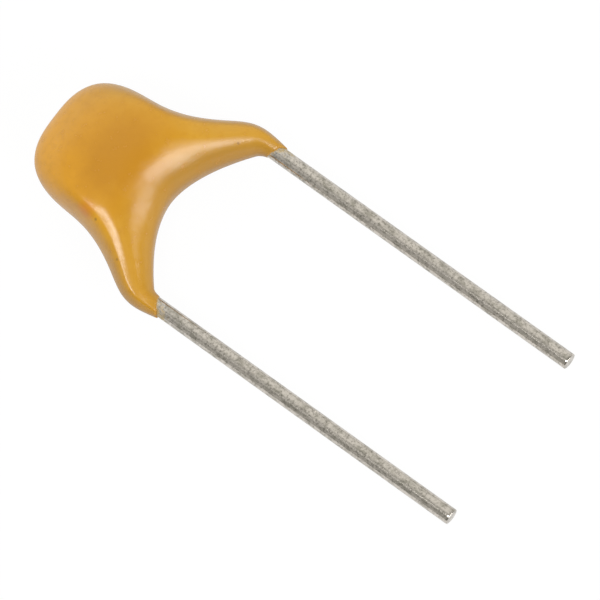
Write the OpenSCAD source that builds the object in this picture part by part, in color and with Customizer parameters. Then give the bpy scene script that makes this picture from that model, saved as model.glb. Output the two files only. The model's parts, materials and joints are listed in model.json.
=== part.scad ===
// Multilayer ceramic capacitor with radial leads and a dipped epoxy coating.
// Modelled with X across the two leads, +Y towards the head and Z through the
// thickness, with Y = 0 where the coating's arch meets the leads, and then laid
// on its belly and lead tips as it comes to rest: at_rest() does that for every
// piece. Units are millimetres.

/* [Leads] */
// Distance between the two leads' centre-lines
lead_pitch = 5.08; // [4.4:0.02:6]
// Diameter of the lead wire
lead_d = 0.45; // [0.36:0.01:0.5]
// Length of straight lead below the arch's feet
lead_len = 9.88; // [5:0.01:30]
// Angle at which each lead splays out through its leg
splay_angle = 35; // [28:1:42]
// Radius of both bends, at the wire's centre-line
bend_r = 0.5; // [0.35:0.01:0.7]
// Height above the arch's feet at which the lower bend ends
bend_h = 0.09; // [0:0.01:0.2]
// Height above the arch's feet of the lead's buried end
lead_top = 3.7; // [3.2:0.01:3.9]

/* [Chip] */
// Length of the ceramic block, from one end termination to the other
chip_l = 2; // [1.6:0.01:2.1]
// Height of the ceramic block, along the leads
chip_h = 2; // [1.6:0.01:2.2]
// Thickness of the ceramic block, across the plates
chip_t = 1.3; // [0.8:0.01:1.6]
// Height above the arch's feet of the block's lower side
chip_base = 2.15; // [1.9:0.01:2.4]
// Radius of the block's tumbled long edges
chip_edge_r = 0.1; // [0.04:0.01:0.2]

/* [Electrodes] */
// Number of plates that run out to each end
plates_per_side = 8; // [2:1:12]
// Thickness of one plate
plate_t = 0.02; // [0.01:0.001:0.024]
// Ceramic left between a plate's tip and the opposite end
end_margin = 0.28; // [0.1:0.01:0.5]
// Ceramic left beside a plate, above and below
side_margin = 0.22; // [0.1:0.01:0.5]
// Ceramic cover over the outermost plates
cover_t = 0.15; // [0.05:0.01:0.2]

/* [Terminations and solder] */
// Thickness of the fired metal caps on the block's ends
cap_t = 0.05; // [0.02:0.005:0.08]
// How far a cap wraps round onto the block's sides
cap_band = 0.38; // [0.2:0.01:0.6]
// Solder between the cap and the lead
solder_film = 0.03; // [0.02:0.005:0.05]
// Solder over the lead's outer side
solder_coat = 0.04; // [0.02:0.005:0.06]
// Half width of the solder fillet where it meets the cap
fillet_w = 0.46; // [0.36:0.01:0.5]
// Solder past the lead's buried end
solder_cover = 0.06; // [0.03:0.01:0.12]
// Length of the soldered stretch of lead
solder_len = 1.5; // [0.8:0.01:1.6]

/* [Coating] */
// Width of the head
head_w = 3.6; // [3.5:0.01:4.2]
// Height of the head's top above the arch's feet
head_top = 4.96; // [4.8:0.01:5.6]
// Thickness of the head
head_t = 2.54; // [2.4:0.01:3]
// How far the head sits to the right of the leads' middle
head_shift = -0.1; // [-0.12:0.01:0.12]
// Length over which the head's upper corners turn
corner_l = 1.07; // [0.9:0.01:1.2]
// Height at which the head begins to flare into the legs
waist_h = 2.8; // [2.7:0.01:3]
// Height of the arch between the legs
arch_h = 1.14; // [0.9:0.01:1.25]
// From the arch's edge to the ridge above it, at the arch's crown
arch_ridge = 1.23; // [1:0.01:1.4]
// From the arch's edge to the ridge along each leg
leg_ridge = 0.42; // [0.3:0.01:0.5]
// Coating over the lead's outer side at the lower bend
bend_skin = 0.13; // [0.1:0.005:0.3]
// Coating over the lead where it ends
end_skin = 0.04; // [0.035:0.005:0.06]
// How far the coating runs down the lead's outer side
outer_run = 0.63; // [0.4:0.01:0.8]
// How far the coating runs down the lead's inner side
inner_run = 0.14; // [0.05:0.01:0.3]
// Clearance between the coating and the pieces that it encloses
bond_gap = 0.004; // [0.002:0.001:0.006]

/* [Hidden] */
SIDES = ["left", "right"];

span_steps = 4;      // steps along each span of the coating's control cage
loop_steps = 3;      // steps round it for each point of a rib's control loop
round_fn = 48;       // facets of the round wires
edge_steps = 5;      // steps round each of the block's edges
solder_steps = 8;    // steps along each curve of the solder

lead_r = lead_d / 2;
lead_x = lead_pitch / 2;
cap_x = chip_l / 2 + cap_t;
// centre-line of the buried stretch of lead, beside the cap
buried_x = cap_x + solder_film + lead_r;
splay_len = (lead_x - buried_x - 2 * bend_r * (1 - cos(splay_angle))) / sin(splay_angle);
upper_bend_h = bend_h + 2 * bend_r * sin(splay_angle) + splay_len * cos(splay_angle);

function electrode_name(side, i) = str("electrode_", side, "_", i);
function mix(a, b, share) = a + (b - a) * share;

// ---- the coating's form -------------------------------------------------
// The skin is a B-spline surface over a cage of control points. Ribs stand along
// it, from one leg's end over the head to the other's, and a loop of control
// points runs round each rib.

head_half = head_w / 2;
foot_x = lead_x + lead_r + bend_skin;
end_x = lead_x + lead_r + end_skin;
arch_x = lead_x - lead_r - end_skin;
corner_inset = 0.32 * corner_l;
corner_drop = 1.1 * corner_l;
arch_power = 1.77;               // how full the arch is, 2 for a parabola
flare = [[0.25, 0.7], [0.61, 0.45]]; // shares of the way out to the foot and up to the waist
run_out = 1.5;                   // how far the last rib lies past the end, in runs
wire_share = 0.81;               // place of the ridge over the wire, on the way out across a rib
ridge_cap = 0.44;                // furthest place of the arch's ridge, likewise
rim_share = 0.3;                 // height of the outer rim, as a share of the half thickness
edge_share = 0.33;               // height of the arch's edge, likewise
slope_share = 0.67;              // how far the slope has risen, half way to the ridge

// a point on the arch, with share 0 at its crown and 1 at the lead
function arch(share) = [arch_x * share, arch_h * (1 - pow(share, arch_power))];

// a point of the outer edge between the foot and the waist
function flared(shares) = [mix(head_half, foot_x, shares[0]), waist_h * shares[1]];

// Ribs of the right half, from the middle to past the leg's end: the outer point,
// the inner point on the arch, and the thickness as a share from the leg's end (0)
// to the head (1).
HALF_RIBS = [
    [[0, head_top], arch(0), 1],
    [[head_half - corner_l, head_top], arch(0.11), 1],
    [[head_half - corner_inset, head_top - corner_inset], arch(0.23), 0.93],
    [[head_half, head_top - corner_drop], arch(0.36), 0.91],
    [[head_half, waist_h], arch(0.5), 0.79],
    [flared(flare[0]), arch(0.65), 0.61],
    [flared(flare[1]), arch(0.82), 0.44],
    [[foot_x, outer_run], arch(0.94), 0.31],
    [[foot_x, 0], [arch_x, 0], 0.18],
    [[end_x, -outer_run], [arch_x, -inner_run], 0],
    [[end_x, -outer_run * run_out], [arch_x, -inner_run * run_out], 0]
];

// The control points round a rib of the given side (-1 or 1): outer edge, rim, the
// flat face from over the wire to the arch's ridge, the slope below it and the
// arch's edge, and back along the other face.
function rib_loop(rib, side) =
    let (
        share = rib[2],
        shift = [head_shift * share, 0],
        outer = [side * rib[0].x, rib[0].y] + shift,
        inner = [side * rib[1].x, rib[1].y] + shift,
        ridge = min(mix(leg_ridge, arch_ridge, share) / norm(outer - inner), ridge_cap),
        half = [
            [1, 0],
            [1, rim_share],
            [wire_share, 1],
            [(wire_share + ridge) / 2, 1],
            [ridge, 1],
            [ridge / 2, mix(edge_share, 1, slope_share)],
            [0, edge_share],
            [0, 0]
        ],
        last = len(half) - 1,
        half_t = mix(lead_r + end_skin, head_t / 2, share)
    )
    [
        for (i = [0:2 * last - 1])
            let (
                point = half[min(i, 2 * last - i)],
                face = i > last ? -1 : 1,
                across = mix(inner, outer, point[0])
            )
            [across.x, across.y, face * point[1] * half_t]
    ];

LAST = len(HALF_RIBS) - 1;
CAGE = concat(
    [for (i = [LAST:-1:1]) rib_loop(HALF_RIBS[i], -1)],
    [for (i = [0:LAST]) rib_loop(HALF_RIBS[i], 1)]
);

// a point of the uniform cubic B-spline over a ring of points, or over a ring of
// loops, at a place counted in points
function spline(ring, at) =
    let (first = floor(at), f = at - first, count = len(ring))
    (
        pow(1 - f, 3) * ring[first % count]
        + (3 * pow(f, 3) - 6 * pow(f, 2) + 4) * ring[(first + 1) % count]
        + (-3 * pow(f, 3) + 3 * pow(f, 2) + 3 * f + 1) * ring[(first + 2) % count]
        + pow(f, 3) * ring[(first + 3) % count]
    ) / 6;

stations = (len(CAGE) - 3) * span_steps;
section_points = len(CAGE[0]) * loop_steps;
SKIN_POINTS = [
    for (s = [0:stations])
        let (loop = spline(CAGE, s / span_steps))
        for (k = [0:section_points - 1])
            spline(loop, k / loop_steps)
];

module skin() {
    polyhedron(
        points = SKIN_POINTS,
        faces = concat(
            [[for (k = [section_points - 1:-1:0]) k]],
            [
                for (s = [0:stations - 1])
                    for (k = [0:section_points - 1])
                        let (a = s * section_points + k, b = s * section_points + (k + 1) % section_points)
                        each [
                            [a, b, b + section_points],
                            [a, b + section_points, a + section_points]
                        ]
            ],
            [[for (k = [0:section_points - 1]) stations * section_points + k]]
        )
    );
}

// ---- how it lies --------------------------------------------------------

// the tilt that brings the belly and the lead tips onto one plane
rest_tilt = max([for (p = SKIN_POINTS) atan((-p.z - lead_r) / (p.y + lead_len))]);
rest_lift = lead_len * sin(rest_tilt) + lead_r * cos(rest_tilt);
rest_front = -lead_len * cos(rest_tilt) - lead_r * sin(rest_tilt);
rest_back = max([for (p = SKIN_POINTS) p.y * cos(rest_tilt) - p.z * sin(rest_tilt)]);

module at_rest() {
    translate([0, -(rest_front + rest_back) / 2, rest_lift])
        rotate([rest_tilt, 0, 0])
            children();
}

// ---- what the coating encloses ------------------------------------------

// rectangle about the origin with rounded corners
module rounded_rectangle(w, h, r) {
    polygon([
        for (corner = [[1, 1, 0], [-1, 1, 90], [-1, -1, 180], [1, -1, 270]])
            for (i = [0:edge_steps])
                let (a = corner[2] + 90 * i / edge_steps)
                [corner.x * (w / 2 - r) + r * cos(a), corner.y * (h / 2 - r) + r * sin(a)]
    ]);
}

// a bar along X with the block's outline, grown by g all round
module chip_bar(x0, x1, g) {
    translate([x0, chip_base + chip_h / 2, 0])
        rotate([90, 0, 90])
            linear_extrude(x1 - x0)
                rounded_rectangle(chip_h + 2 * g, chip_t + 2 * g, chip_edge_r + g);
}

module plate(side, i) {
    pitch = (chip_t - 2 * cover_t - plate_t) / (2 * plates_per_side - 1);
    z = -chip_t / 2 + cover_t + pitch * (2 * (i - 1) + (side == "left" ? 0 : 1));
    x0 = side == "left" ? -chip_l / 2 : -chip_l / 2 + end_margin;
    translate([x0, chip_base + side_margin, z])
        cube([chip_l - end_margin, chip_h - 2 * side_margin, plate_t]);
}

// the cap on the block's right end
module cap(g = 0) {
    difference() {
        chip_bar(chip_l / 2 - cap_band - g, cap_x + g, cap_t + g);
        chip_bar(0, chip_l / 2, 0);
    }
}

// Outline, across the lead, of the solder that ties it to the cap: concave
// fillets from the cap to the lead's flanks and a thin coat round its far side.
function solder_outline(g) =
    let (
        coat_r = lead_r + solder_coat + g,
        flank = [
            for (i = [0:solder_steps])
                let (t = i / solder_steps)
                pow(1 - t, 2) * [cap_x, fillet_w + g]
                + 2 * t * (1 - t) * [cap_x + solder_film + g, coat_r]
                + t * t * [buried_x, coat_r]
        ],
        far_side = [
            for (i = [1:2 * solder_steps - 1])
                let (a = 90 - 90 * i / solder_steps)
                [buried_x + coat_r * cos(a), coat_r * sin(a)]
        ]
    )
    concat(flank, far_side, [for (i = [solder_steps:-1:0]) [flank[i].x, -flank[i].y]]);

module solder_bar(g = 0) {
    top = lead_top + solder_cover + g;
    translate([0, top, 0])
        rotate([90, 0, 0])
            linear_extrude(solder_cover + solder_len + 2 * g)
                polygon(solder_outline(g));
}

// a straight length of wire along +Y
module straight(length, r) {
    rotate([-90, 0, 0])
        cylinder(r = r, h = length, $fn = round_fn);
}

// a bend about the origin that starts on the X axis and turns by the splay angle
module bend(r) {
    rotate_extrude(angle = splay_angle, $fn = round_fn)
        translate([bend_r, 0])
            circle(r = r, $fn = round_fn);
}

// the right lead, from its free tip up through both bends to its buried end
module lead(g = 0) {
    r = lead_r + g;
    translate([lead_x, -lead_len, 0])
        straight(lead_len + bend_h, r);
    translate([lead_x - bend_r, bend_h, 0]) {
        bend(r);
        rotate([0, 0, splay_angle])
            translate([bend_r, 0, 0]) {
                straight(splay_len, r);
                translate([bend_r, splay_len, 0])
                    rotate([0, 0, 180 - splay_angle]) {
                        bend(r);
                        translate([bend_r, 0, 0])
                            mirror([0, 1, 0])
                                straight(lead_top - upper_bend_h + g, r);
                    }
            }
    }
}

// turns a right-hand piece into the piece of the given side
module on_side(side) {
    mirror([side == "left" ? 1 : 0, 0, 0])
        children();
}

// ---- the pieces ---------------------------------------------------------

module epoxy_coating() {
    color([0.85, 0.62, 0.25])
        at_rest()
            difference() {
                skin();
                chip_bar(-chip_l / 2, chip_l / 2, bond_gap);
                for (side = SIDES)
                    on_side(side) {
                        chip_bar(chip_l / 2 - cap_band - bond_gap, cap_x + bond_gap, cap_t + bond_gap);
                        solder_bar(bond_gap);
                        lead(bond_gap);
                    }
            }
}

module ceramic_block() {
    color("tan")
        at_rest()
            difference() {
                chip_bar(-chip_l / 2, chip_l / 2, 0);
                for (side = SIDES)
                    for (i = [1:plates_per_side])
                        plate(side, i);
            }
}

module electrode(side, i) {
    color("slategray")
        at_rest()
            plate(side, i);
}

module end_termination(side) {
    color("gainsboro")
        at_rest()
            on_side(side)
                cap();
}

module solder_joint(side) {
    color("lightgray")
        at_rest()
            on_side(side)
                difference() {
                    solder_bar();
                    lead();
                }
}

module lead_wire(side) {
    color("silver")
        at_rest()
            on_side(side)
                lead();
}

epoxy_coating();
ceramic_block();
for (side = SIDES) {
    for (i = [1:plates_per_side]) {
        electrode(side, i);
    }
    end_termination(side);
    solder_joint(side);
    lead_wire(side);
}
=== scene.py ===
import json
import math

import bmesh
import bpy
from mathutils import Matrix, Vector, noise


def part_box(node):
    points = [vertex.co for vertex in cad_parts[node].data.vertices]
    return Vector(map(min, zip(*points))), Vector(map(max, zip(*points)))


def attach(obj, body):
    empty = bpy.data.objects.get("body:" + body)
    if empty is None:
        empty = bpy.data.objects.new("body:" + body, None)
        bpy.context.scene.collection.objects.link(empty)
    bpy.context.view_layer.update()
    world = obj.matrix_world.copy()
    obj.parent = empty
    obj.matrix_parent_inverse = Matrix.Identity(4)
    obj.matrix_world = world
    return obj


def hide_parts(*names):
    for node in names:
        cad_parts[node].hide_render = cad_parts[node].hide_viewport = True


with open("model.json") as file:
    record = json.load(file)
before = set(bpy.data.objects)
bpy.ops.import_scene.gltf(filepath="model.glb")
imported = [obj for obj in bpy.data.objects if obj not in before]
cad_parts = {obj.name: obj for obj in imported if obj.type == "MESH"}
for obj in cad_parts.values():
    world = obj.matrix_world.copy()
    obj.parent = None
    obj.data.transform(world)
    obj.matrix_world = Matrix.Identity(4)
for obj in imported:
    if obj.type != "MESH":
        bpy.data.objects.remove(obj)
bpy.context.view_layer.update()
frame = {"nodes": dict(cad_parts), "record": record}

MM = 0.001
BODY = "root"
SIDES = {"left": -1, "right": 1}

# ---- sizes, in millimetres, in the part's own upright frame ----------------
# X runs across the leads, Y up towards the head and Z through the thickness,
# with Y = 0 where the arch between the legs meets the leads.

LEAD_PITCH = 5.08
LEAD_RADIUS = 0.225
LEAD_LENGTH = 9.88
SPLAY = math.radians(35)
BEND_RADIUS = 0.5
BEND_HEIGHT = 0.09
LEAD_TOP = 3.7
BURIED_X = 1.305

HEAD_WIDTH = 3.6
HEAD_TOP = 4.96
HEAD_THICKNESS = 2.54
HEAD_SHIFT = -0.1
CORNER = 1.07
WAIST = 2.8
ARCH_HEIGHT = 1.14
BEND_SKIN = 0.13
END_SKIN = 0.04
OUTER_RUN = 0.63
INNER_RUN = 0.14
ARCH_RIDGE = 1.23
LEG_RIDGE = 0.42

ARCH_POWER = 1.77
FLARE = [(0.25, 0.7), (0.61, 0.45)]
CORNER_CUT = 0.32
CORNER_DROP = 1.1
WIRE_SHARE = 0.81
RIDGE_CAP = 0.44
RIM_SHARE = 0.3
EDGE_SHARE = 0.33
SLOPE_SHARE = 0.67
RUN_OUT = 1.5

LEAD_X = LEAD_PITCH / 2
FOOT_X = LEAD_X + LEAD_RADIUS + BEND_SKIN
END_X = LEAD_X + LEAD_RADIUS + END_SKIN
ARCH_X = LEAD_X - LEAD_RADIUS - END_SKIN
HEAD_HALF = HEAD_WIDTH / 2

# where the coating's colour changes, and the centres of its painted shade
HEAD_FACE = (-0.15, 2.7, HEAD_THICKNESS / 2)
ARCH_SHADE_CENTRE = (-0.8, -2.15, 0)
ORANGE_SPOT = (-1.63, 2.55, 0.9)
SPECKS = [(-1.77, 2.19), (-2.26, 1.15), (2.08, 0.51), (-2.7, -0.44)]

# how the coating runs out on the leads
TOE_STATIONS = 9     # stations from each end that are frayed
FRILL = 0.1          # how far the frayed edge swings along the lead
FRILL_SCALE = 1.2    # how quickly it swings round the lead
TOE_SLOPE = 0.09     # half the slope of the end, from its outer side to its inner one
FEATHERING = 0.1     # share by which the end thins towards the lead's axis
FILM_FADE = 0.9      # how fast the film of resin past the end fades, per millimetre

# how finely the pieces are built
COAT_STATIONS = 108
COAT_AROUND = 84
LEAD_STEPS = 24
TIP_STEP = 0.2       # where the ring next to the tip's lies, in lead steps
BEND_STEPS = 12
LEAD_AROUND = 48
TIP_BEVEL = 0.025

# the camera and its view
CAMERA_DISTANCE = 400
VIEW_WIDTH = 600 / 38.62
VIEW_CENTRE = (-0.24, -3.2, 0)
SENSOR = 36

LAMP_DISTANCE = 300
LAMP_TARGET = (0, 2, 0)
PAPER_HALF = 250


# ---- how the part lies -----------------------------------------------------

# each lead's axis in the record points to its tip, down along the lean
lead_axis = Vector(frame["record"]["mounts"][0]["axis"])
LEAN = math.atan2(-lead_axis.z, -lead_axis.y)


def lie_down():
    """The matrix that takes the upright part, in millimetres, to how it lies, in metres."""
    lowest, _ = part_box("lead_wire_right")
    foot_y = lowest.y / MM + LEAD_LENGTH * math.cos(LEAN) + LEAD_RADIUS * math.sin(LEAN)
    foot_z = LEAD_LENGTH * math.sin(LEAN) + LEAD_RADIUS * math.cos(LEAN)
    shift = Matrix.Translation((0, foot_y, foot_z))
    return Matrix.Scale(MM, 4) @ shift @ Matrix.Rotation(LEAN, 4, "X")


LYING = lie_down()

# the view's own axes: towards the camera, to the view's right and up it
TURNING = LYING.to_3x3().normalized()
VIEW_BACK = (TURNING @ Vector((-0.1346, -0.2248, 0.9650))).normalized()
VIEW_RIGHT = (TURNING @ Vector((0.7875, 0.5669, 0.2419))).cross(VIEW_BACK).normalized()
VIEW_UP = VIEW_BACK.cross(VIEW_RIGHT)


# ---- shader maths ----------------------------------------------------------

class Socket:
    """An output of a node, on which arithmetic adds Math nodes, or a tree alone to make nodes in."""

    def __init__(self, tree, source=None):
        self.tree = tree
        self.source = source

    def make(self, kind, settings=None, inputs=None, output=0):
        """Any node, from its type, its settings, and the values or links of its sockets."""
        node = self.tree.nodes.new(kind)
        for name, value in (settings or {}).items():
            if name == "stops":
                set_stops(node.color_ramp, value)
            else:
                setattr(node, name, value)
        for name, value in (inputs or {}).items():
            if isinstance(value, Socket):
                self.tree.links.new(value.source, node.inputs[name])
            else:
                node.inputs[name].default_value = value
        return Socket(self.tree, node.outputs[output])

    def maths(self, operation, first, second):
        return self.make("ShaderNodeMath", {"operation": operation}, {0: first, 1: second})

    def __add__(self, other):
        return self.maths("ADD", self, other)

    def __radd__(self, other):
        return self.maths("ADD", other, self)

    def __sub__(self, other):
        return self.maths("SUBTRACT", self, other)

    def __rsub__(self, other):
        return self.maths("SUBTRACT", other, self)

    def __mul__(self, other):
        return self.maths("MULTIPLY", self, other)

    def __rmul__(self, other):
        return self.maths("MULTIPLY", other, self)


def set_stops(ramp, stops):
    """Gives a colour ramp these (position, grey) stops."""
    while len(ramp.elements) > 1:
        ramp.elements.remove(ramp.elements[-1])
    ramp.elements[0].position = stops[0][0]
    ramp.elements[0].color = (*[stops[0][1]] * 3, 1)
    for position, grey in stops[1:]:
        ramp.elements.new(position).color = (*[grey] * 3, 1)


def srgb(red, green, blue):
    """A linear colour from 0 to 255 display values."""
    def linear(value):
        value = value / 255
        return value / 12.92 if value <= 0.04045 else ((value + 0.055) / 1.055) ** 2.4
    return (linear(red), linear(green), linear(blue), 1)


def new_material(name):
    """(material, a Socket to make nodes from, its Principled shader)."""
    material = bpy.data.materials.new(name)
    material.use_nodes = True
    tree = material.node_tree
    return material, Socket(tree), tree.nodes["Principled BSDF"]


def set_shader(shader, **values):
    """Sets or links a shader's sockets, named with underscores for spaces."""
    for name, value in values.items():
        socket = shader.inputs[name.replace("_", " ")]
        if isinstance(value, Socket):
            value.tree.links.new(value.source, socket)
        else:
            socket.default_value = value


def part_place(maker, stretch=None):
    """Object coordinates stood upright again, in millimetres, and stretched."""
    upright = LYING.inverted()
    place = maker.make(
        "ShaderNodeMapping",
        {"vector_type": "POINT"},
        {
            "Vector": maker.make("ShaderNodeTexCoord", output=3),
            "Location": upright.to_translation(),
            "Rotation": upright.to_euler(),
            "Scale": upright.to_scale(),
        },
    )
    if stretch:
        inputs = {0: place, 1: stretch}
        return maker.make("ShaderNodeVectorMath", {"operation": "MULTIPLY"}, inputs)
    return place


def component(maker, vector, axis):
    """A vector's X (0), Y (1) or Z (2)."""
    return maker.make("ShaderNodeSeparateXYZ", {}, {0: vector}, output=axis)


def compare(maker, operation, first, second):
    """The distance or dot product of two vectors."""
    settings = {"operation": operation}
    return maker.make("ShaderNodeVectorMath", settings, {0: first, 1: second}, output=1)


def cloud(maker, place, scale, detail=3.0, roughness=0.5):
    """Soft noise from 0 to 1, with scale in cycles per millimetre."""
    return maker.make(
        "ShaderNodeTexNoise",
        {"noise_dimensions": "3D"},
        {"Vector": place, "Scale": scale, "Detail": detail, "Roughness": roughness},
    )


def between(maker, value, stops):
    """A value run through a grey ramp."""
    return maker.make("ShaderNodeValToRGB", {"stops": stops}, {0: value})


def blend(maker, share, first, second):
    """A colour between two colours."""
    return maker.make(
        "ShaderNodeMix",
        {"data_type": "RGBA", "blend_type": "MIX"},
        {0: share, 6: first, 7: second},
        output=2,
    )


def bump(maker, height, depth, strength=1.0, normal=None):
    """A bump whose depth is in millimetres."""
    inputs = {"Height": height, "Distance": depth * MM, "Strength": strength}
    if normal:
        inputs["Normal"] = normal
    return maker.make("ShaderNodeBump", {}, inputs)


# ---- materials -------------------------------------------------------------

def dipped_epoxy():
    """Glossy ochre epoxy, clouded and mottled with pigment, with painted shade deeper in the head's
    middle and along the arch, painted light warmer towards the head's top left, a painted sheen
    duller over the right side, a darker, duller tone towards the legs' ends, an orange spot and a
    few specks."""
    material, maker, shader = new_material("dipped_epoxy")
    place = part_place(maker)
    flat = part_place(maker, (1, 1, 0))
    clouds = cloud(maker, place, 1.1, 4.0, 0.55)
    mottle = cloud(maker, place, 5.0, 3.0, 0.6)
    ochre = srgb(221, 160, 24)
    pale = srgb(223, 164, 40)
    deep = srgb(200, 135, 0)

    lean = compare(maker, "DOT_PRODUCT", place, (-0.6, 0.79, 0))
    leftness = lean * 0.25 + 0.25
    height = component(maker, place, 1)
    # painted shade: how far a point is from the head face's middle, roughened by the clouds
    heart = compare(maker, "DISTANCE", place, HEAD_FACE) + 1.3 * (clouds - 0.5)
    arch_wall = compare(maker, "DISTANCE", flat, ARCH_SHADE_CENTRE)
    # an orange tint in a small spot on the head's front face, low on its left
    orange_spot = compare(maker, "DISTANCE", place, ORANGE_SPOT)
    # painted shade on the walls of the arch between the legs, weaker on the left
    painted_arch_shade = between(maker, arch_wall * 0.2, [(0.75, 0.65), (0.82, 0)])
    painted_arch_shade = painted_arch_shade * between(maker, leftness, [(0.45, 1), (0.68, 0.25)])
    layers = [
        # painted light: a brighter, warmer tone towards the head's top left
        (between(maker, lean * 0.2, [(0.44, 0), (0.78, 0.9)]), srgb(246, 174, 14)),
        # painted sheen: a paler, less saturated tone over the right side and its leg
        (between(maker, leftness, [(0.1, 0.8), (0.45, 0)]), srgb(216, 162, 54)),
        (between(maker, height * 0.25, [(0.1, 0.5), (0.5, 0)]), srgb(212, 155, 42)),
        # painted shade: a deeper tone in the head face's middle
        (between(maker, heart * 0.4, [(0.25, 0.9), (0.8, 0)]), deep),
        # painted shade along the arch's walls
        (painted_arch_shade, srgb(178, 130, 54)),
        # the orange spot low on the head's left
        (between(maker, orange_spot, [(0.1, 0.7), (0.34, 0)]), srgb(224, 128, 34)),
        (between(maker, mottle, [(0.5, 0), (0.78, 0.4)]), deep),
    ]
    for speck in SPECKS:
        away = compare(maker, "DISTANCE", flat, (*speck, 0))
        layers.append((between(maker, away, [(0.015, 0.45), (0.05, 0)]), srgb(112, 74, 30)))
    body = blend(maker, between(maker, clouds, [(0.38, 0), (0.66, 1)]), ochre, pale)
    for share, colour in layers:
        body = blend(maker, share, body, colour)

    ripple = cloud(maker, place, 2.4, 2.0, 0.5)
    grain = cloud(maker, place, 26.0, 2.0, 0.5)
    normal = bump(maker, ripple, 0.015, 0.5)
    normal = bump(maker, grain, 0.0015, 0.6, normal)
    set_shader(
        shader,
        Base_Color=body,
        Roughness=0.22 + 0.08 * mottle,
        Specular_IOR_Level=0.7,
        Normal=normal,
    )
    return material


def tinned_wire():
    """Tinned wire, mottled and finely grained, with a thin film of resin next to the coating."""
    material, maker, shader = new_material("tinned_wire")
    place = part_place(maker)
    streaks = cloud(maker, part_place(maker, (9, 2.5, 9)), 1.0, 3.0, 0.6)
    patches = cloud(maker, part_place(maker, (7, 4, 7)), 1.0, 4.0, 0.65)
    grain = cloud(maker, place, 14.0, 3.0, 0.7)
    dull = between(maker, patches, [(0.45, 0), (0.65, 1)])
    dark = between(maker, grain, [(0.5, 0), (0.64, 0.55)])
    tone = blend(maker, dull * 0.75, srgb(231, 224, 214), srgb(165, 161, 148))
    tone = blend(maker, dark, tone, srgb(110, 105, 97))
    across = component(maker, place, 0)
    along = component(maker, place, 1)
    outwards = across.maths("ABSOLUTE", across, 0.0) - LEAD_X
    slant = (OUTER_RUN - INNER_RUN) / (2 * LEAD_RADIUS)
    past_end = -1 * along - slant * outwards - (OUTER_RUN + INNER_RUN) / 2
    blots = cloud(maker, place, 9.0, 2.0, 0.6)
    film = between(maker, blots - FILM_FADE * past_end, [(0.36, 0), (0.66, 0.85)])
    normal = bump(maker, streaks, 0.004, 0.3)
    normal = bump(maker, grain, 0.002, 0.3, normal)
    set_shader(
        shader,
        Base_Color=blend(maker, film, tone, srgb(196, 168, 104)),
        Metallic=1 - film,
        Roughness=0.15 + 0.06 * dull,
        Normal=normal,
    )
    return material


def fired_ceramic():
    """The block's dense dielectric, with a fine sintered grain."""
    material, maker, shader = new_material("fired_ceramic")
    grain = cloud(maker, part_place(maker), 30.0, 3.0, 0.6)
    tone = blend(maker, grain, srgb(196, 172, 140), srgb(160, 134, 104))
    set_shader(shader, Base_Color=tone, Roughness=0.62, Normal=bump(maker, grain, 0.002))
    return material


def bare_metal(name, light, dark, scale, roughness):
    """A metal inside the coating, clouded between two tones."""
    material, maker, shader = new_material(name)
    clouds = cloud(maker, part_place(maker), scale, 4.0, 0.6)
    set_shader(
        shader,
        Base_Color=blend(maker, clouds, light, dark),
        Metallic=1.0,
        Roughness=roughness + 0.15 * clouds,
        Normal=bump(maker, clouds, 0.004, 0.5),
    )
    return material


def studio_floor(albedo, paper_level, shade_share):
    """Paper that shows white where it is lit to the paper level, as it is in the open, and
    keeps a share of its shading."""
    material, maker, shader = new_material("studio_floor")
    tree = material.node_tree
    grey = (albedo, albedo, albedo, 1)
    set_shader(shader, Base_Color=grey, Roughness=1.0, Specular_IOR_Level=0.0)
    glow = (1 - shade_share * paper_level) / (1 - shade_share)
    white = maker.make("ShaderNodeEmission", {}, {"Color": (1, 1, 1, 1), "Strength": glow})
    seen = seen_directly(maker, mirrored=0.7)
    paper = Socket(tree, shader.outputs[0])
    inputs = {0: seen * (1 - shade_share), 1: paper, 2: white}
    mixed = maker.make("ShaderNodeMixShader", {}, inputs)
    tree.links.new(mixed.source, tree.nodes["Material Output"].inputs["Surface"])
    return material


def seen_directly(maker, mirrored):
    """1 for what the camera sees itself or through glass, and a share of it for mirrored views."""
    path = maker.make("ShaderNodeLightPath")
    kinds = path.source.node.outputs
    camera = Socket(maker.tree, kinds["Is Camera Ray"])
    glossy = Socket(maker.tree, kinds["Is Glossy Ray"])
    clear = Socket(maker.tree, kinds["Is Transmission Ray"])
    return camera.maths("MAXIMUM", camera, glossy.maths("MAXIMUM", glossy * mirrored, clear))


# ---- making pieces ---------------------------------------------------------

def finish_piece(name, bm, material, levels=0):
    """Makes an object of a bmesh that is in upright millimetres, and lays it down. Its faces
    are smooth, but for the caps of many sides."""
    bmesh.ops.transform(bm, matrix=LYING, verts=bm.verts)
    bmesh.ops.recalc_face_normals(bm, faces=bm.faces)
    for face in bm.faces:
        face.smooth = len(face.verts) < 5
    mesh = bpy.data.meshes.new(name)
    bm.to_mesh(mesh)
    bm.free()
    piece = bpy.data.objects.new(name, mesh)
    bpy.context.scene.collection.objects.link(piece)
    mesh.materials.append(material)
    if levels:
        smoothing = piece.modifiers.new("smoothing", "SUBSURF")
        smoothing.levels = levels
        smoothing.render_levels = levels
    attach(piece, BODY)
    return piece


# ---- the coating -----------------------------------------------------------

def mix(first, second, share):
    return first + (second - first) * share


def arch(share):
    """A point on the arch between the legs, from its crown (0) to the lead (1)."""
    return ARCH_X * share, ARCH_HEIGHT * (1 - share ** ARCH_POWER)


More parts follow.
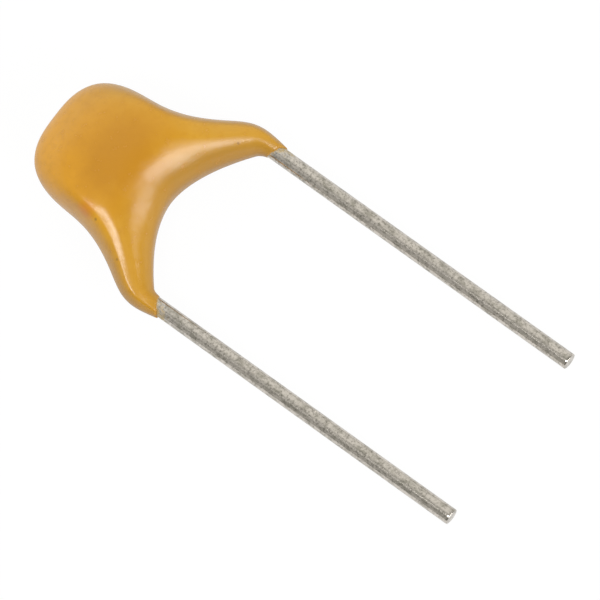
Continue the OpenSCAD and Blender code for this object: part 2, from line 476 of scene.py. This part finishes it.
def half_ribs():
    """The right half's ribs, from the middle to past the leg's end: the outer point, the
    inner point on the arch, and the thickness as a share from the leg's end (0) to the
    head (1)."""
    inset = CORNER * CORNER_CUT
    flares = [(mix(HEAD_HALF, FOOT_X, way_out), WAIST * way_up) for way_out, way_up in FLARE]
    return [
        ((0, HEAD_TOP), arch(0), 1),
        ((HEAD_HALF - CORNER, HEAD_TOP), arch(0.11), 1),
        ((HEAD_HALF - inset, HEAD_TOP - inset), arch(0.23), 0.93),
        ((HEAD_HALF, HEAD_TOP - CORNER * CORNER_DROP), arch(0.36), 0.91),
        ((HEAD_HALF, WAIST), arch(0.5), 0.79),
        (flares[0], arch(0.65), 0.61),
        (flares[1], arch(0.82), 0.44),
        ((FOOT_X, OUTER_RUN), arch(0.94), 0.31),
        ((FOOT_X, 0), (ARCH_X, 0), 0.18),
        ((END_X, -OUTER_RUN), (ARCH_X, -INNER_RUN), 0),
        ((END_X, -OUTER_RUN * RUN_OUT), (ARCH_X, -INNER_RUN * RUN_OUT), 0),
    ]


def rib_loop(rib, side):
    """The control points round a rib: outer edge, rim, the flat face from over the wire to
    the arch's ridge, the slope below it and the arch's edge, and back along the other face."""
    (outer_x, outer_y), (inner_x, inner_y), share = rib
    shift = HEAD_SHIFT * share
    outer = Vector((side * outer_x + shift, outer_y, 0))
    inner = Vector((side * inner_x + shift, inner_y, 0))
    ridge = min(mix(LEG_RIDGE, ARCH_RIDGE, share) / (outer - inner).length, RIDGE_CAP)
    half = [
        (1, 0),
        (1, RIM_SHARE),
        (WIRE_SHARE, 1),
        ((WIRE_SHARE + ridge) / 2, 1),
        (ridge, 1),
        (ridge / 2, mix(EDGE_SHARE, 1, SLOPE_SHARE)),
        (0, EDGE_SHARE),
        (0, 0),
    ]
    whole = half + [(across, -height) for across, height in half[-2:0:-1]]
    half_t = mix(LEAD_RADIUS + END_SKIN, HEAD_THICKNESS / 2, share)
    return [
        inner.lerp(outer, across) + Vector((0, 0, height * half_t))
        for across, height in whole
    ]


def spline(points, at):
    """A point of the uniform cubic B-spline, at a place counted in control points."""
    first = int(at)
    f = at - first
    weights = [
        (1 - f) ** 3,
        3 * f ** 3 - 6 * f ** 2 + 4,
        -3 * f ** 3 + 3 * f ** 2 + 3 * f + 1,
        f ** 3,
    ]
    near = [points[(first + k) % len(points)] for k in range(4)]
    return sum((w * point for w, point in zip(weights, near)), Vector()) / 6


def ring(bm, around, place):
    """A closed loop of edges, with each point moved by place(angle)."""
    made = bmesh.ops.create_circle(bm, cap_ends=False, radius=1, segments=around)["verts"]
    for vert in made:
        vert.co = place(math.atan2(vert.co.y, vert.co.x))
    return {edge for vert in made for edge in vert.link_edges}


def bridge(bm, rings, around):
    """Joins the rings in turn and caps the first and the last."""
    for near, far in zip(rings, rings[1:]):
        bmesh.ops.bridge_loops(bm, edges=list(near | far))
    bmesh.ops.holes_fill(bm, edges=list(rings[0] | rings[-1]), sides=around)


def coating(material):
    """The dipped coating's skin, a B-spline surface from one leg's end over the head to the
    other's, with both ends frayed and sloped."""
    halves = half_ribs()
    cage = [rib_loop(rib, -1) for rib in halves[:0:-1]] + [rib_loop(rib, 1) for rib in halves]
    columns = list(zip(*cage))
    bm = bmesh.new()
    rings = []
    for station in range(COAT_STATIONS + 1):
        at = station / COAT_STATIONS * (len(cage) - 3)
        loop = [spline(column, at) for column in columns]
        side = 1 if station > COAT_STATIONS / 2 else -1
        near_end = max(0, 1 - min(station, COAT_STATIONS - station) / TOE_STATIONS)

        def skin_point(angle):
            point = spline(loop, angle / math.tau % 1 * len(loop))
            axis = Vector((side * LEAD_X, point.y, 0))
            thinned = point.lerp(axis, FEATHERING * near_end ** 2)
            turned = Vector((FRILL_SCALE * math.cos(angle), FRILL_SCALE * math.sin(angle), 5 * side))
            run = FRILL * noise.noise(turned) - TOE_SLOPE * math.cos(angle)
            return thinned - Vector((0, run * near_end, 0))

        rings.append(ring(bm, COAT_AROUND, skin_point))
    bridge(bm, rings, COAT_AROUND)
    piece = finish_piece("coating_skin", bm, material, levels=1)
    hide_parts("epoxy_coating")


# ---- the leads -------------------------------------------------------------

def leaning(angle):
    """A heading that leans inwards from upright by an angle."""
    return Vector((-math.sin(angle), math.cos(angle), 0))


def lead_route():
    """The right lead's centre-line as (point, heading), from its free tip to its buried end."""
    up = Vector((0, 1, 0))
    splay_x = LEAD_X - BURIED_X - 2 * BEND_RADIUS * (1 - math.cos(SPLAY))
    foot = Vector((LEAD_X, BEND_HEIGHT, 0))
    route = []
    for step in (0, TIP_STEP, *range(1, LEAD_STEPS)):
        route.append((Vector((LEAD_X, -LEAD_LENGTH * (1 - step / LEAD_STEPS), 0)), up))
    for step in range(BEND_STEPS + 1):
        angle = SPLAY * step / BEND_STEPS
        swing = Vector((math.cos(angle) - 1, math.sin(angle), 0))
        route.append((foot + swing * BEND_RADIUS, leaning(angle)))
    start = route[-1][0] + leaning(SPLAY) * splay_x / math.sin(SPLAY)
    for step in range(BEND_STEPS + 1):
        angle = SPLAY * (1 - step / BEND_STEPS)
        swing = Vector((math.cos(SPLAY) - math.cos(angle), math.sin(SPLAY) - math.sin(angle), 0))
        route.append((start + swing * BEND_RADIUS, leaning(angle)))
    route.append((Vector((BURIED_X, LEAD_TOP, 0)), up))
    return route


def lead(side, material):
    """One lead, swept from its free tip up through both bends to its buried end."""
    bm = bmesh.new()
    rings = []
    for centre, heading in lead_route():
        outward = Vector((heading.y, -heading.x, 0))

        def rim(angle):
            across = outward * math.cos(angle) + Vector((0, 0, math.sin(angle)))
            return centre + across * LEAD_RADIUS

        rings.append(ring(bm, LEAD_AROUND, rim))
    bridge(bm, rings, LEAD_AROUND)
    bmesh.ops.bevel(
        bm,
        geom=list(rings[0]),
        offset=TIP_BEVEL,
        affect="EDGES",
        segments=2,
        profile=0.5,
        material=-1,
    )
    bmesh.ops.scale(bm, vec=(SIDES[side], 1, 1), verts=bm.verts)
    piece = finish_piece("tinned_lead_" + side, bm, material)
    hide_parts("lead_wire_" + side)


# ---- the pieces inside the coating -----------------------------------------

def dress_inner_pieces():
    """Gives each piece that the coating hides its own finish."""
    nickel = srgb(150, 148, 142), srgb(112, 110, 106)
    silver = srgb(206, 206, 202), srgb(170, 170, 166)
    tin = srgb(196, 198, 200), srgb(150, 152, 156)
    finishes = {
        "ceramic_block": fired_ceramic(),
        "electrode": bare_metal("nickel_plate", *nickel, 9.0, 0.4),
        "end_termination": bare_metal("fired_cap", *silver, 7.0, 0.35),
        "solder_joint": bare_metal("tin_solder", *tin, 4.0, 0.25),
    }
    for name, node in frame["nodes"].items():
        for kind, finish in finishes.items():
            if name.startswith(kind):
                node.data.materials.clear()
                node.data.materials.append(finish)


# ---- stage, light and camera -----------------------------------------------

def stage():
    """A white sheet of paper under the part."""
    bm = bmesh.new()
    bmesh.ops.create_grid(bm, x_segments=1, y_segments=1, size=PAPER_HALF * MM)
    mesh = bpy.data.meshes.new("paper")
    bm.to_mesh(mesh)
    bm.free()
    paper = bpy.data.objects.new("paper", mesh)
    bpy.context.scene.collection.objects.link(paper)
    mesh.materials.append(studio_floor(albedo=0.28, paper_level=0.225, shade_share=0.15))


def towards(bearing, tilt):
    """A heading as the view shows it: the bearing goes anticlockwise from the view's right,
    and the tilt away from the camera, both in degrees."""
    turn = math.radians(bearing)
    fall = math.radians(tilt)
    across = VIEW_RIGHT * math.cos(turn) + VIEW_UP * math.sin(turn)
    return VIEW_BACK * math.cos(fall) + across * math.sin(fall)


def daylight(level, slant, least, dimming):
    """A nearly grey world that is brighter beyond the view's top left, never falls below the
    least strength, and is dimmer in a patch to the left of the camera."""
    world = bpy.data.worlds.new("daylight")
    bpy.context.scene.world = world
    world.use_nodes = True
    tree = world.node_tree
    maker = Socket(tree)
    heading = maker.make("ShaderNodeTexCoord", output=0)

    top_left = compare(maker, "DOT_PRODUCT", heading, towards(130, 90))
    beside_camera = compare(maker, "DOT_PRODUCT", heading, towards(184, 30))
    sky = maker.maths("MAXIMUM", level + slant * top_left, least)
    patch = between(maker, beside_camera, [(0.77, 0), (0.95, 1)])
    strength = sky * (1 - dimming * patch)
    background = tree.nodes["Background"]
    background.inputs["Color"].default_value = (1, 0.99, 0.95, 1)
    tree.links.new(strength.source, background.inputs["Strength"])


def softbox(name, bearing, tilt, width, height, radiance):
    """An area light in millimetres that faces the part, its width across its bearing."""
    data = bpy.data.lights.new(name, "AREA")
    data.shape = "RECTANGLE"
    data.size = width * MM
    data.size_y = height * MM
    data.energy = radiance * math.pi * data.size * data.size_y
    light = bpy.data.objects.new(name, data)
    heading = towards(bearing, tilt)
    across = towards(bearing + 90, 90)
    light.rotation_euler = Matrix((across, heading.cross(across), heading)).transposed().to_euler()
    light.location = LYING @ Vector(LAMP_TARGET) + heading * LAMP_DISTANCE * MM
    bpy.context.scene.collection.objects.link(light)


def lights():
    """A hard lamp at the left, and a large, a faint and a low one at the right."""
    softbox("left_box", 207, 19, 72, 68, 12.2)
    softbox("crotch_box", 321, 41, 162, 118, 6.3)
    softbox("haze_box", 318, 22, 130, 80, 1.2)
    softbox("right_box", 356, 60, 120, 105, 4.0)


def camera():
    """A long lens that looks down on the part, rolled so that the leads run down to the
    right."""
    aim = LYING @ Vector(VIEW_CENTRE)
    data = bpy.data.cameras.new("camera")
    data.sensor_width = SENSOR
    data.lens = SENSOR * CAMERA_DISTANCE / VIEW_WIDTH
    data.clip_start = 0.01
    data.clip_end = 10
    eye = aim + VIEW_BACK * CAMERA_DISTANCE * MM
    camera_object = bpy.data.objects.new("camera", data)
    turn = Matrix((VIEW_RIGHT, VIEW_UP, VIEW_BACK)).transposed().to_4x4()
    camera_object.matrix_world = Matrix.Translation(eye) @ turn
    bpy.context.scene.collection.objects.link(camera_object)
    bpy.context.scene.camera = camera_object


# ---- the scene -------------------------------------------------------------

bpy.context.scene.view_settings.view_transform = "Standard"
camera()
stage()
daylight(0.385, 0.72, 0.12, 0.34)
lights()
coating(dipped_epoxy())
wire_finish = tinned_wire()
for side in SIDES:
    lead(side, wire_finish)
dress_inner_pieces()
